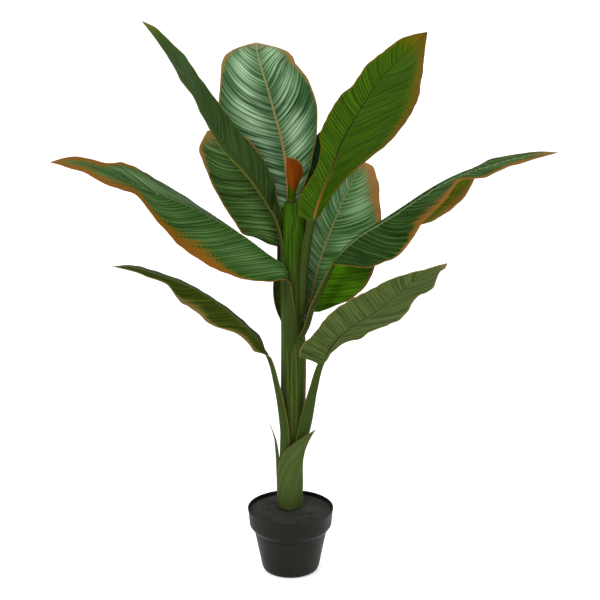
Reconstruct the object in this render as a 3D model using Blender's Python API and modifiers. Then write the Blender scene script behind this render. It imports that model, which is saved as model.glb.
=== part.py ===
"""Potted canna: a nursery pot filled with dark grit, a stem of wrapped sheaths, and ten paddle leaves.

Every leaf is one closed blade with its midrib and its leaf stalk. Its surface follows one rule: a rib
curve through a few points, and on each side a half blade with its own width, lift, curl and lean.
Metres, +Z up, the camera side is -Y. The origin is the centre of the pot's foot.
"""
from dataclasses import dataclass

import bpy
import numpy as np

MM = 0.001
GAP = 0.0003          # between the pot, the grit and the stem, in metres
SOCKET_GAP = 0.4      # round a leaf's root in the stem, in millimetres

# Pot: a round nursery pot, 17 cm across its rim, in metres
POT_RIM_RADIUS = 0.085
POT_HEIGHT = 0.131
POT_BAND_HEIGHT = 0.036
POT_BAND_FOOT_RADIUS = 0.0814
POT_NECK_RADIUS = 0.072
POT_NECK_DROP = 0.047
POT_FOOT_RADIUS = 0.0572
POT_FOOT_ROUND = 0.009
POT_RIM_EDGE = 0.0006
POT_BAND_STEP = 0.0012
POT_BAND_ROUND = 0.002
POT_BAND_INSIDE_RISE = 0.003
POT_WALL = 0.0022
POT_FLOOR = 0.0030
POT_SIDES = 44

# Grit that fills the pot, a little higher round the stem than at the wall
GRIT_WALL_HEIGHT = 0.1235
GRIT_STEM_HEIGHT = 0.1285
GRIT_MOUND_RADIUS = 0.034
GRIT_MOUND_DROP = 0.0004
GRIT_SLOPE_RADIUS = 0.058
GRIT_CORNER_LIFT = 0.0005
GRIT_SIDES = 44

# Stem: centre line (x, y, z) and radius along it, in millimetres
STEM_LINE = ((-2, 14, 24), (-1, 14, 130), (4, 14, 300), (6, 14, 420), (4, 14, 600), (6, 13, 700),
             (3, 12, 747))
STEM_RADII = (20, 21, 22.5, 23.5, 24.5, 24.5, 23, 22, 19.5, 12)
STEM_TOP_RISE = 3
STEM_HOLE_RADIUS = 23.4
STEM_HOLE_CENTRE = -1.4
STEM_HOLE_LENGTH = 200
STEM_SHEATHS = 9
STEM_SHEATH_STEP = 0.9
STEM_TWIST = 0.16
STEM_SIDES = 27
STEM_ROWS = 20

# Blade and stalk sections, in millimetres
BLADE_EDGE = 0.9
RIB_THICKNESS = (4.6, 3.6, 2.6, 1.8, 1.1)
RIB_REACH = (5.5, 4.6, 3.8, 3.0, 2.4)
STALK_THICKNESS = 4.6
STALK_EDGE = 1.3
FOLD_REACH = 3.0
FOLD_RAMP = 0.06
BASE_RAMP = 0.02
LEAF_COLUMNS = (-1, -0.74, -0.42, -0.15, 0, 0.15, 0.42, 0.74, 1)
STALK_ROWS = 6
TIP_WIDTH = 1.2


@dataclass
class Leaf:
    """One leaf: millimetres and degrees, right and left as seen along the rib from its base."""

    name: str
    heading: tuple          # compass of the upper face's tilt, 0 along +X and 90 along +Y
    stalk: tuple            # points of the leaf stalk, from inside the stem to the base of the blade
    blade: tuple            # further points of the rib, out to the tip
    right: tuple            # half width of the right side, evenly spaced from base to tip
    left: tuple
    lift_right: tuple = (10,)
    lift_left: tuple = (10,)
    curl_right: tuple = (0,)
    curl_left: tuple = (0,)
    lean: tuple = (0,)              # how far the margins run towards the tip, in degrees
    stalk_width: tuple = (8, 7)
    stalk_cup: tuple = (60, 60)
    rib: float = 1.0        # thickness of the midrib as a share of the usual one
    rows: int = 18


LEAVES = (
    Leaf(
        name="leaf_top_left", heading=(176,),
        stalk=((-6, 7, 600), (-11, 8, 636), (-21, 11, 694), (-33, 11, 726)),
        blade=((-44, 10, 749), (-80, 2, 810), (-120, -6, 861), (-149, -9, 915), (-170, -11, 961),
               (-209, -10, 1012), (-241, -5, 1058), (-267, 2, 1085)),
        right=(25, 35, 44, 53, 60, 64, 67, 68, 68, 66, 62, 56, 48, 43, 45, 49, 46, 32, 25, 18, 0.5),
        left=(6, 10, 13, 17, 21, 25, 30, 35, 42, 48, 52, 48, 39, 34, 40, 30, 23, 26, 22, 14, 0.5),
        lift_right=(38, 28, 22, 17, 14, 18, 20), lift_left=(-8, -8, -4, 0, -8, 2, 0),
        stalk_width=(8, 7), rows=22),
    Leaf(
        name="leaf_top_middle", heading=(95,),
        stalk=((0, 25, 616), (-2, 43, 657), (-3, 72, 720)),
        blade=((-6, 86, 777), (-12, 98, 825), (-19, 106, 858), (-28, 113, 890), (-37, 120, 923),
               (-48, 133, 958), (-58, 155, 986), (-65, 193, 1007), (-68, 250, 1017)),
        right=(15, 21, 34, 46, 55, 66, 75, 83, 85, 84, 82, 77, 74, 74, 70, 58, 0.5),
        left=(21, 37, 52, 66, 80, 91, 100, 106, 107, 104, 96, 87, 78, 72, 62, 42, 0.5),
        lift_right=(10, 10, 8, 4, 0), lift_left=(2, 4, 6, 4, 0),
        curl_right=(0, -15, -25, -30, -20), curl_left=(0, -15, -25, -30, -20)),
    Leaf(
        name="leaf_top_right", heading=(297,),
        stalk=((22, 4, 524), (26, -6, 576), (28, -15, 626), (33, -25, 674), (41, -41, 722)),
        blade=((57, -60, 779), (73, -76, 823), (94, -98, 885), (114, -115, 926), (136, -132, 966),
               (161, -148, 1006), (190, -160, 1038), (215, -168, 1064), (235, -172, 1085)),
        right=(26, 31, 34, 32, 28, 26, 27, 31, 41, 43, 44, 44, 42, 35, 34, 35, 32, 29, 26, 16, 0.5),
        left=(8, 18, 27, 38, 52, 76, 97, 107, 111, 113, 111, 105, 97, 82, 56, 28, 0.5),
        lift_right=(30, 32, 30, 30, 34), lift_left=(8, 5, 0, 0, 0),
        stalk_width=(9, 10, 9, 8), rows=22),
    Leaf(
        name="leaf_back_right", heading=(62,),
        stalk=((18, 17, 640), (24, 40, 674), (28, 66, 718)),
        blade=((33, 88, 762), (62, 115, 803), (97, 139, 851), (131, 160, 895), (155, 177, 925)),
        right=(18, 46, 58, 60, 48, 28, 0.5), left=(8, 21, 36, 42, 32, 18, 0.5),
        lift_right=(15,), lift_left=(15,)),
    Leaf(
        name="leaf_back_left", heading=(112,),
        stalk=((-8, 20, 505), (-23, 22, 548), (-25, 25, 580), (-20, 29, 620), (-19, 31, 656)),
        blade=((-21, 33, 690), (-38, 39, 735), (-54, 44, 762), (-80, 54, 794), (-111, 66, 828),
               (-138, 82, 853), (-158, 96, 868)),
        right=(6, 12, 20, 34, 44, 40, 0.5), left=(14, 48, 71, 76, 77, 78, 77, 73, 69, 62, 54, 43, 0.5),
        lift_right=(15,), lift_left=(10, 5, 0, 0, 0), curl_left=(0, -20, -30, -20, 0),
        stalk_width=(8, 10, 11, 8, 7)),
    Leaf(
        name="leaf_left", heading=(262, 232, 200, 195, 195, 195, 195, 195, 195),
        stalk=((-1, 0, 430), (0, -8, 492), (-1, -11, 548), (-3, -15, 596)),
        blade=((-5, -19, 620), (-47, -31, 662), (-94, -43, 701), (-143, -54, 732), (-186, -62, 757),
               (-236, -72, 779), (-282, -84, 802), (-344, -98, 835), (-387, -108, 848), (-426, -116, 849)),
        right=(8, 26, 40, 51, 57, 61, 64, 67, 69, 74, 75, 70, 58, 26, 23, 17, 0.5),
        left=(4, 36, 53, 71, 79, 83, 81, 78, 77, 71, 55, 29, 38, 43, 31, 26, 0.5),
        lift_right=(-20, -12, -4, 2, 10, 20, 22, 14), lift_left=(-58, -62, -68, -68, -40, -24, -22, -8),
        stalk_width=(13, 14, 12, 8), stalk_cup=(60, 60, 50, 40)),
    Leaf(
        name="leaf_low_left", heading=(235, 215, 195, 185, 183),
        stalk=((-8, 4, 196), (-10, -5, 246), (-14, -12, 306), (-27, -17, 394), (-40, -24, 450)),
        blade=((-50, -26, 472), (-67, -28, 493), (-99, -31, 528), (-141, -36, 566), (-188, -39, 596),
               (-243, -42, 618), (-289, -44, 634), (-330, -46, 638)),
        right=(20, 34, 31, 31, 27, 21, 21, 28, 37, 41, 35, 26, 0.5),
        left=(8, 21, 25, 21, 20, 24, 31, 39, 42, 40, 38, 38, 39, 32, 17, 15, 18, 17, 14, 9, 0.5),
        lift_right=(22, 10, 2, -4, -6, -6), lift_left=(-36, -60, -56, -20, -6),
        stalk_width=(9, 12, 13, 10, 7), stalk_cup=(35, 35, 35, 40, 50), rows=22),
    Leaf(
        name="leaf_right_back", heading=(55,),
        stalk=((12, 23, 484), (24, 26, 504), (34, 30, 528)),
        blade=((43, 34, 570), (63, 46, 643), (84, 60, 695), (107, 78, 748), (128, 94, 785),
               (138, 104, 799), (143, 116, 803)),
        right=(14, 47, 76, 94, 107, 113, 115, 114, 111, 106, 98, 90, 80, 68, 56, 35, 0.5),
        left=(8, 44, 60, 62, 50, 36, 0.5),
        lift_right=(-5,), lift_left=(20,)),
    Leaf(
        name="leaf_right", heading=(347,),
        stalk=((20, 5, 480), (32, -4, 506), (43, -14, 547), (57, -19, 580), (80, -25, 634)),
        blade=((96, -29, 663), (125, -37, 694), (174, -45, 729), (215, -52, 759),
               (242, -56, 779), (301, -64, 815), (364, -75, 840), (415, -83, 854), (481, -93, 862)),
        right=(14, 60, 66, 74, 80, 80, 74, 64, 61, 58, 49, 36, 24, 38, 38, 30, 24, 22, 17, 9, 0.5),
        left=(12, 30, 44, 51, 56, 59, 64, 64, 62, 58, 54, 52, 50, 38, 36, 20, 14, 12, 12, 9, 0.5),
        lift_right=(-66, -66, -52, -38, -30, -22, -30, -26, -18),
        lift_left=(0, -8, -36, -64, -74, -26, 10, 10, 8), lean=(14, 14, 18, 26, 28, 24, 14, 10, 10),
        stalk_width=(10, 12, 12, 10, 7), rows=22),
    Leaf(
        name="leaf_low_right", heading=(285, 295, 300, 302, 302),
        stalk=((13, 4, 200), (19, -5, 250), (31, -14, 314), (45, -24, 385), (59, -36, 442)),
        blade=((68, -42, 464), (90, -53, 501), (122, -66, 532), (154, -80, 557), (188, -94, 589),
               (228, -110, 630), (258, -123, 652), (284, -135, 668)),
        right=(50, 52, 43, 42, 47, 51, 53, 54, 50, 45, 40, 35, 25, 17, 9, 5, 0.5),
        left=(6, 9, 9, 14, 19, 30, 45, 49, 49, 59, 64, 65, 67, 64, 59, 51, 44, 45, 54, 56, 47, 33, 21,
              16, 0.5),
        lift_right=(34,), lift_left=(-12,),
        stalk_width=(8, 12, 14, 10, 7), stalk_cup=(35, 35, 35, 40, 50), rows=22),
)

# The young leaf, still rolled, in the middle of the crown, and two dry leaf bases at the foot of the stem
SPEAR = Leaf(
    name="leaf_young", heading=(270,),
    stalk=((3, 7, 706), (3, 4, 753)),
    blade=((3, 2, 762), (5, 0, 778), (6, -1, 801), (-1, -2, 824), (-6, -3, 836)),
    right=(9, 11, 14, 15, 8, 0.5), left=(9, 12, 17, 24, 20, 0.5), lift_right=(0,), lift_left=(0,),
    curl_right=(90, 80, 60, 40), curl_left=(100, 90, 60, 40), stalk_width=(6, 7), stalk_cup=(60, 70),
    rows=12)
BRACT_FRONT = Leaf(
    name="bract_front", heading=(274, 274, 283), stalk=(),
    blade=((0, -13, 129.5), (1, -17, 174), (5, -20, 218), (17, -25, 257), (30, -29, 283), (48, -34, 308)),
    right=(30, 36, 38, 34, 24, 10, 0.5), left=(30, 34, 32, 24, 14, 8, 0.5),
    lift_right=(0,), lift_left=(0,),
    curl_right=(82, 84, 80, 60, 30, 10), curl_left=(74, 78, 74, 56, 40, 20), rib=0.35, rows=12)
BRACT_SIDE = Leaf(
    name="bract_side", heading=(172,), stalk=(),
    blade=((-24.5, 16, 129.5), (-26, 17, 190), (-28, 15, 239), (-31, 12, 271), (-42, 8, 308)),
    right=(20, 20, 16, 9, 0.5), left=(10, 12, 12, 8, 0.5), lift_right=(0,), lift_left=(0,),
    curl_right=(46, 44, 36, 24, 10), curl_left=(46, 44, 36, 24, 10), rib=0.35, rows=12)

COLOURS = {
    "pot": ((0.028, 0.029, 0.025), 0.5),
    "grit": ((0.022, 0.022, 0.022), 0.95),
    "stem": ((0.085, 0.135, 0.035), 0.6),
    "leaf": ((0.045, 0.150, 0.060), 0.4),
    "leaf_low": ((0.075, 0.140, 0.045), 0.4),
    "leaf_young": ((0.330, 0.090, 0.010), 0.5),
    "bract": ((0.120, 0.190, 0.060), 0.6),
}


def along(values, share):
    """Evenly spaced values joined by a Catmull-Rom curve and read at a share of 0 to 1 of its length."""
    points = np.asarray(values, float)
    if len(points) == 1:
        return np.full(np.shape(share), points[0])
    padded = np.concatenate([[2 * points[0] - points[1]], points, [2 * points[-1] - points[-2]]])
    place = np.clip(share, 0, 1) * (len(points) - 1)
    i = np.minimum(place.astype(int), len(points) - 2)
    f = place - i
    a, b, c, d = padded[i], padded[i + 1], padded[i + 2], padded[i + 3]
    bend = (2 * a - 5 * b + 4 * c - d) * f**2 + (3 * b - 3 * c + d - a) * f**3
    return b + 0.5 * ((c - a) * f + bend)


def smooth_line(points, count=400):
    """A smooth curve through points at even steps of its length, and the share of each point."""
    knots = np.asarray(points, float)
    span = np.linalg.norm(np.diff(knots, axis=0), axis=1)
    slope = np.diff(knots, axis=0) / span[:, None]
    weight = (span[:-1] / (span[:-1] + span[1:]))[:, None]
    tangent = np.empty_like(knots)
    tangent[1:-1] = slope[:-1] * (1 - weight) + slope[1:] * weight
    tangent[0] = 1.5 * slope[0] - 0.5 * tangent[1]
    tangent[-1] = 1.5 * slope[-1] - 0.5 * tangent[-2]
    at = np.concatenate([[0], np.cumsum(span)])
    fine = np.linspace(0, at[-1], 10 * count)
    i = np.clip(np.searchsorted(at, fine, side="right") - 1, 0, len(span) - 1)
    f = ((fine - at[i]) / span[i])[:, None]
    reach = span[i][:, None]
    line = ((2 * f**3 - 3 * f**2 + 1) * knots[i] + (f**3 - 2 * f**2 + f) * reach * tangent[i]
            + (3 * f**2 - 2 * f**3) * knots[i + 1] + (f**3 - f**2) * reach * tangent[i + 1])
    run = np.concatenate([[0], np.cumsum(np.linalg.norm(np.diff(line, axis=0), axis=1))])
    even = np.linspace(0, run[-1], count)
    evenly = np.stack([np.interp(even, run, line[:, k]) for k in range(3)], 1)
    return evenly, np.interp(at, fine, run) / run[-1]


def unit(vectors):
    """Vectors scaled to length 1."""
    return vectors / np.linalg.norm(vectors, axis=-1, keepdims=True)


def leaf_frame(leaf, share):
    """Place, direction, right-hand side and upper-face direction of the rib at shares of its length."""
    points = leaf.stalk + leaf.blade
    line, knots = smooth_line(points)
    start = knots[len(leaf.stalk) - 1] if leaf.stalk else 0.0
    steps = np.linspace(0, 1, len(line))
    slope = np.gradient(line, axis=0)
    place = np.stack([np.interp(share, steps, line[:, k]) for k in range(3)], -1)
    ahead = unit(np.stack([np.interp(share, steps, slope[:, k]) for k in range(3)], -1))
    heading = np.radians(along(leaf.heading, share))
    level = np.stack([np.sin(heading), -np.cos(heading), 0 * heading], -1)
    side = unit(level - ahead * np.sum(ahead * level, -1, keepdims=True))
    return place, ahead, side, np.cross(side, ahead), start


def leaf_surface(leaf, share, across):
    """Upper face of a leaf on a grid: share runs from root to tip, across from -1, left, to 1, right.

    A half blade leaves the rib at its lift angle and bends by its curl angle up to its margin, so it is
    an arc of length width, and its margin leans towards the tip. The stalk is a channel: an arc of its
    own width whose two sides rise by the cup angle. The two pass into each other at the blade's base.
    """
    place, ahead, side, up, start = leaf_frame(leaf, share)
    blade_share = np.clip((share - start) / (1 - start), 0, 1)[:, None]
    stalk_share = np.clip(share / max(start, 1e-6), 0, 1)[:, None]
    blade = np.ones((len(share), 1))
    folding = blade
    if leaf.stalk:
        folding = np.clip((share - start) / FOLD_RAMP, 0, 1)[:, None]
        blade = np.clip((share - start) / BASE_RAMP, 0, 1)[:, None]
        blade = blade * blade * (3 - 2 * blade)
    q = across[None, :]
    half = np.abs(q)
    to_right = q >= 0

    def pick(right, left):
        return np.where(to_right, along(right, blade_share), along(left, blade_share))

    width = np.maximum(pick(leaf.right, leaf.left), TIP_WIDTH) * blade
    width = width + along(leaf.stalk_width, stalk_share) * (1 - blade)
    lift = np.radians(pick(leaf.lift_right, leaf.lift_left)) * folding
    cup = along(leaf.stalk_cup, stalk_share) * (1 - blade)
    curl = np.radians(pick(leaf.curl_right, leaf.curl_left) * blade + cup)
    reach = width * half * np.sinc(curl * half / (2 * np.pi))
    angle = lift * np.clip(half * width / FOLD_REACH, 0, 1) + curl * half / 2
    rise = reach * np.sin(angle)
    run = np.tan(np.radians(along(leaf.lean, blade_share))) * width * half**1.5 * blade
    flat = reach * np.cos(angle) * np.sign(q)
    points = (place[:, None, :] + flat[..., None] * side[:, None, :] + rise[..., None] * up[:, None, :]
              + run[..., None] * ahead[:, None, :])
    rib = leaf.rib * (along(RIB_THICKNESS, blade_share) - BLADE_EDGE) * np.exp(
        -(half * width / along(RIB_REACH, blade_share))**2)
    stalk = STALK_EDGE + (STALK_THICKNESS - STALK_EDGE) * (1 - half**2)
    thickness = (BLADE_EDGE + rib) * blade + stalk * (1 - blade)
    return points, thickness


def normals(points):
    """Directions square to a grid of points, on the side that an upper face looks to."""
    return unit(np.cross(np.gradient(points, axis=1), np.gradient(points, axis=0)))


def new_object(name, vertices, faces, collection, material):
    """A mesh object from metre vertices and faces, put in a collection."""
    mesh = bpy.data.meshes.new(name)
    mesh.from_pydata([tuple(v) for v in vertices], [], faces)
    mesh.validate()
    mesh.materials.append(material)
    item = bpy.data.objects.new(name, mesh)
    collection.objects.link(item)
    return item


def shell_faces(rows, columns):
    """Triangles of a closed thin shell: two grids split alike, strips along the sides and at the ends."""
    lower = rows * columns
    faces = []
    for i in range(rows - 1):
        for j in range(columns - 1):
            a = i * columns + j
            b, c, d = a + 1, a + columns + 1, a + columns
            faces += [(a, b, c), (a, c, d)]
            faces += [(lower + a, lower + c, lower + b), (lower + a, lower + d, lower + c)]
        left = i * columns
        right = left + columns - 1
        after = left + columns
        faces += [(left, after, lower + after), (left, lower + after, lower + left)]
        after = right + columns
        faces += [(right, lower + after, after), (right, lower + right, lower + after)]
    for j in range(columns - 1):
        foot = j
        tip = (rows - 1) * columns + j
        faces += [(foot, lower + foot, lower + foot + 1), (foot, lower + foot + 1, foot + 1)]
        faces += [(tip, lower + tip + 1, lower + tip), (tip, tip + 1, lower + tip + 1)]
    return faces


def leaf_shell(leaf, share, grow=0.0):
    """Vertices in metres and faces of a leaf over the given shares of its length, grown by grow."""
    points, thickness = leaf_surface(leaf, share, np.array(LEAF_COLUMNS, float))
    out = normals(points)
    upper = points + grow * out
    lower = points - (thickness + grow)[..., None] * out
    if grow:
        for face in (upper, lower):
            face[:, 0] += grow * unit(face[:, 0] - face[:, 1])
            face[:, -1] += grow * unit(face[:, -1] - face[:, -2])
            face[0] += grow * unit(face[0] - face[1])
    vertices = np.concatenate([upper.reshape(-1, 3), lower.reshape(-1, 3)]) * MM
    return vertices, shell_faces(len(share), len(LEAF_COLUMNS))


def leaf_rows(leaf):
    """Shares of the length at which a leaf has a row of points: stalk, base of the blade, blade."""
    start = leaf_frame(leaf, np.array([0.0]))[-1]
    blade = start + (1 - start) * np.linspace(0, 1, leaf.rows + 1)
    if not leaf.stalk:
        return blade
    stalk = start * np.linspace(0, 1, STALK_ROWS + 1)[:-1]
    base = start + BASE_RAMP * np.array([0, 0.5, 1])
    return np.concatenate([stalk, base, blade[blade > start + 1.5 * BASE_RAMP]])


def make_leaf(leaf, collection, material):
    """One leaf as a closed solid."""
    vertices, faces = leaf_shell(leaf, leaf_rows(leaf))
    return new_object(leaf.name, vertices, faces, collection, material)


def make_socket(leaf, cutters, material):
    """Cutter for the slot in the stem that a leaf's root sits in: the leaf's stalk grown by the gap."""
    start = leaf_frame(leaf, np.array([0.0]))[-1]
    share = start * np.linspace(0, 1, STALK_ROWS + 1)
    vertices, faces = leaf_shell(leaf, share, grow=SOCKET_GAP)
    cutter = new_object("socket_" + leaf.name, vertices, faces, cutters, material)
    cutter.hide_render = True
    cutter.display_type = "WIRE"
    return cutter


def turned(name, profile, sides, collection, material):
    """A solid turned about Z from a profile of (radius, height) that runs down its outer side."""
    mesh = bpy.data.meshes.new(name)
    edges = [(i, i + 1) for i in range(len(profile) - 1)]
    mesh.from_pydata([(radius, 0, height) for radius, height in profile], edges, [])
    mesh.materials.append(material)
    item = bpy.data.objects.new(name, mesh)
    collection.objects.link(item)
    screw = item.modifiers.new("Turn", "SCREW")
    screw.steps = sides
    screw.render_steps = sides
    screw.use_merge_vertices = True
    screw.merge_threshold = 0.00005
    return item


def body_slope():
    """How much the pot's body widens with height, below its neck."""
    return (POT_NECK_RADIUS - POT_FOOT_RADIUS) / (POT_HEIGHT - POT_NECK_DROP - POT_FOOT_ROUND)


def floor_radius():
    """Radius of the flat inside floor of the pot, short of the rounded corner."""
    return POT_FOOT_RADIUS - body_slope() * (POT_FOOT_ROUND - POT_FLOOR) - POT_FOOT_ROUND


def pot_profile():
    """Half section of the pot: floor, inside wall, rim, band, neck, body, rounded foot."""
    band_foot = POT_HEIGHT - POT_BAND_HEIGHT
    neck = POT_HEIGHT - POT_NECK_DROP
    turn = np.radians(np.linspace(0, 90, 5)[1:])
    foot = [(POT_FOOT_RADIUS - POT_FOOT_ROUND * (1 - np.cos(a)), POT_FOOT_ROUND * (1 - np.sin(a)))
            for a in turn]
    inside = [(0, POT_FLOOR), (floor_radius(), POT_FLOOR), (POT_FOOT_RADIUS - POT_WALL, POT_FOOT_ROUND),
              (POT_NECK_RADIUS - POT_WALL, neck),
              (POT_BAND_FOOT_RADIUS - POT_WALL, band_foot + POT_BAND_INSIDE_RISE),
              (POT_RIM_RADIUS - POT_WALL, POT_HEIGHT - POT_RIM_EDGE),
              (POT_RIM_RADIUS - POT_WALL + POT_RIM_EDGE, POT_HEIGHT)]
    outside = [(POT_RIM_RADIUS - POT_RIM_EDGE, POT_HEIGHT), (POT_RIM_RADIUS, POT_HEIGHT - POT_RIM_EDGE),
               (POT_BAND_FOOT_RADIUS, band_foot + POT_BAND_ROUND),
               (POT_BAND_FOOT_RADIUS - POT_BAND_STEP, band_foot),
               (POT_NECK_RADIUS, neck), (POT_FOOT_RADIUS, POT_FOOT_ROUND)]
    return inside + outside + foot + [(0, 0)]


def make_grit(collection, material):
    """The fill: a turned plug, GAP clear of the pot, that rises towards the stem."""
    floor = POT_FLOOR + GAP
    neck = POT_HEIGHT - POT_NECK_DROP
    inset = POT_WALL + 2 * GAP
    band = POT_HEIGHT - POT_BAND_HEIGHT + POT_BAND_INSIDE_RISE
    band_slope = (POT_RIM_RADIUS - POT_BAND_FOOT_RADIUS) / (POT_HEIGHT - POT_RIM_EDGE - band)
    wall = POT_BAND_FOOT_RADIUS - inset + band_slope * (GRIT_WALL_HEIGHT - band)
    profile = [(0, GRIT_STEM_HEIGHT), (GRIT_MOUND_RADIUS, GRIT_STEM_HEIGHT - GRIT_MOUND_DROP),
               (GRIT_SLOPE_RADIUS, 0.5 * (GRIT_STEM_HEIGHT + GRIT_WALL_HEIGHT)), (wall, GRIT_WALL_HEIGHT),
               (POT_BAND_FOOT_RADIUS - inset, band), (POT_NECK_RADIUS - inset, neck + GRIT_CORNER_LIFT),
               (POT_FOOT_RADIUS - inset, POT_FOOT_ROUND + GRIT_CORNER_LIFT),
               (floor_radius() - 2 * GAP, floor), (0, floor)]
    return turned("grit", profile, GRIT_SIDES, collection, material)


def stem_grid(rows, sides):
    """Rows of points round the stem: each sheath bulges, ends in a small step, and turns as it rises."""
    line, _ = smooth_line(STEM_LINE)
    share = np.linspace(0, 1, rows)
    steps = np.linspace(0, 1, len(line))
    centre = np.stack([np.interp(share, steps, line[:, k]) for k in range(3)], -1)
    turn = np.linspace(0, 1, sides, endpoint=False)[None, :]
    phase = np.mod(STEM_SHEATHS * turn + STEM_TWIST * STEM_SHEATHS * share[:, None], 1)
    radius = along(STEM_RADII, share)[:, None] + STEM_SHEATH_STEP * (phase - 0.5)
    angle = 2 * np.pi * turn
    return np.stack([centre[:, :1] + radius * np.cos(angle), centre[:, 1:2] + radius * np.sin(angle),
                     centre[:, 2:] + 0 * radius], -1)


def make_stem(collection, material, cutters):
    """The stem as a ribbed loft, with a socket cut for each leaf root."""
    points = stem_grid(STEM_ROWS, STEM_SIDES)
    rows, sides = points.shape[:2]
    foot = points[0].mean(0)
    top = points[-1].mean(0) + (0, 0, STEM_TOP_RISE)
    vertices = np.concatenate([points.reshape(-1, 3), [foot, top]]) * MM
    faces = []
    for i in range(rows - 1):
        for j in range(sides):
            a = i * sides + j
            b = i * sides + (j + 1) % sides
            faces += [(a, b, b + sides), (a, b + sides, a + sides)]
    for j in range(sides):
        after = (j + 1) % sides
        last = (rows - 1) * sides
        faces += [(rows * sides, after, j), (rows * sides + 1, last + j, last + after)]
    stem = new_object("stem", vertices, faces, collection, material)
    cut = stem.modifiers.new("Sockets", "BOOLEAN")
    cut.operation = "DIFFERENCE"
    cut.operand_type = "COLLECTION"
    cut.collection = cutters
    cut.solver = "EXACT"
    return stem


def cut_stem_hole(grit, cutters, material):
    """The hole in the grit that the stem stands in."""
    x, y, foot = STEM_HOLE_CENTRE * MM, STEM_LINE[0][1] * MM, STEM_LINE[0][2] * MM - GAP
    length = STEM_HOLE_LENGTH * MM
    bpy.ops.mesh.primitive_cylinder_add(
        vertices=STEM_SIDES, radius=STEM_HOLE_RADIUS * MM, depth=length, location=(x, y, foot + length / 2))
    cutter = bpy.context.object
    cutter.name = "hole_stem"
    cutter.data.materials.append(material)
    for owner in list(cutter.users_collection):
        owner.objects.unlink(cutter)
    cutters.objects.link(cutter)
    cutter.hide_render = True
    cutter.display_type = "WIRE"
    cut = grit.modifiers.new("Stem hole", "BOOLEAN")
    cut.operation = "DIFFERENCE"
    cut.object = cutter
    cut.solver = "EXACT"


def make_material(name):
    """A Principled material with the colour and roughness of one finish."""
    colour, roughness = COLOURS[name]
    material = bpy.data.materials.new(name)
    material.use_nodes = True
    shader = material.node_tree.nodes["Principled BSDF"]
    shader.inputs["Base Color"].default_value = (*colour, 1)
    shader.inputs["Roughness"].default_value = roughness
    shader.inputs["Metallic"].default_value = 0
    material.diffuse_color = (*colour, 1)
    return material


def main():
    """Clears the scene and builds the plant in its pot."""
    for item in list(bpy.data.objects):
        bpy.data.objects.remove(item, do_unlink=True)
    plant = bpy.data.collections.new("potted_canna")
    sockets = bpy.data.collections.new("socket_cutters")
    holes = bpy.data.collections.new("hole_cutters")
    for collection in (plant, sockets, holes):
        bpy.context.scene.collection.children.link(collection)

    pot = turned("pot", pot_profile(), POT_SIDES, plant, make_material("pot"))
    grit = make_grit(plant, make_material("grit"))
    stem_material = make_material("stem")
    for leaf in LEAVES + (SPEAR,):
        make_socket(leaf, sockets, stem_material)
    stem = make_stem(plant, stem_material, sockets)
    cut_stem_hole(grit, holes, grit.data.materials[0])
    for leaf in LEAVES:
        make_leaf(leaf, plant, make_material("leaf_low" if leaf.name.startswith("leaf_low") else "leaf"))
    make_leaf(SPEAR, plant, make_material("leaf_young"))
    for bract in (BRACT_FRONT, BRACT_SIDE):
        make_leaf(bract, plant, make_material("bract"))
    for item in (pot, grit, stem):
        item.data.shade_smooth()


main()
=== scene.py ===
"""Looks of the potted canna: pleated leaf blades with coloured margins, a stem of wrapped sheaths, grit and
a nursery pot.

Lengths in the tables are millimetres, the meshes are metres. +Z is up and the camera side is -Y.
"""
from dataclasses import dataclass

import bpy
import numpy as np
from mathutils import Matrix


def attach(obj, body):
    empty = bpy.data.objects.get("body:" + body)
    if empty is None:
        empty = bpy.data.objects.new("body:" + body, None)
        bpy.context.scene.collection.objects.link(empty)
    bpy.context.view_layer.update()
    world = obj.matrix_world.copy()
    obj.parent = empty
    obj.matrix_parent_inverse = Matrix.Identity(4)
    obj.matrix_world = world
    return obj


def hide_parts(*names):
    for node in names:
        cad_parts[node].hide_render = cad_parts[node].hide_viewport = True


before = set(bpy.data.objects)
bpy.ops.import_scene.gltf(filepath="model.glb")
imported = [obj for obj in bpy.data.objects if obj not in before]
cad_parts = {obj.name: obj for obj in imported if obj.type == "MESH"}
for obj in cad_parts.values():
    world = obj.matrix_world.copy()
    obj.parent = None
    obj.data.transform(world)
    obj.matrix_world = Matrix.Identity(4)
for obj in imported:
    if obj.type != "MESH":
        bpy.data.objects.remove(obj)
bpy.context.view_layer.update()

MM = 0.001
TINY = 1e-6

# Sections of a leaf, in millimetres. A tuple runs evenly from the base of the blade to its tip.
BLADE_EDGE = 0.9                            # thickness away from the rib
RIB_THICKNESS = (4.6, 3.6, 2.6, 1.8, 1.1)   # thickness at the rib
RIB_REACH = (5.5, 4.6, 3.8, 3.0, 2.4)       # how far the rib's bulge spreads to each side
RIB_HALF = (2.6, 2.1, 1.6, 1.1, 0.7)        # half width of the rib's coloured line
STALK_THICKNESS = 4.6
STALK_EDGE = 1.3
TIP_WIDTH = 1.2                             # least half width of a blade
FOLD_REACH = 3.0                            # distance from the rib over which a half blade takes its lift
RIPPLE_REACH = 30                           # half width from which the margin ripples in full

# Shares of the length of a leaf
FOLD_RAMP = 0.06                            # over which a half blade takes its lift after the base
BASE_RAMP = 0.02                            # over which the stalk becomes a blade
CALM_TIP = 0.06                             # over which pleats fade out before the tip
TIP_REACH = 0.9995                          # of the rib that the dressed leaf covers

VEIN_BEND = 1.2                             # power by which a vein runs on towards the tip
STALK_ROWS = 34

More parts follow.
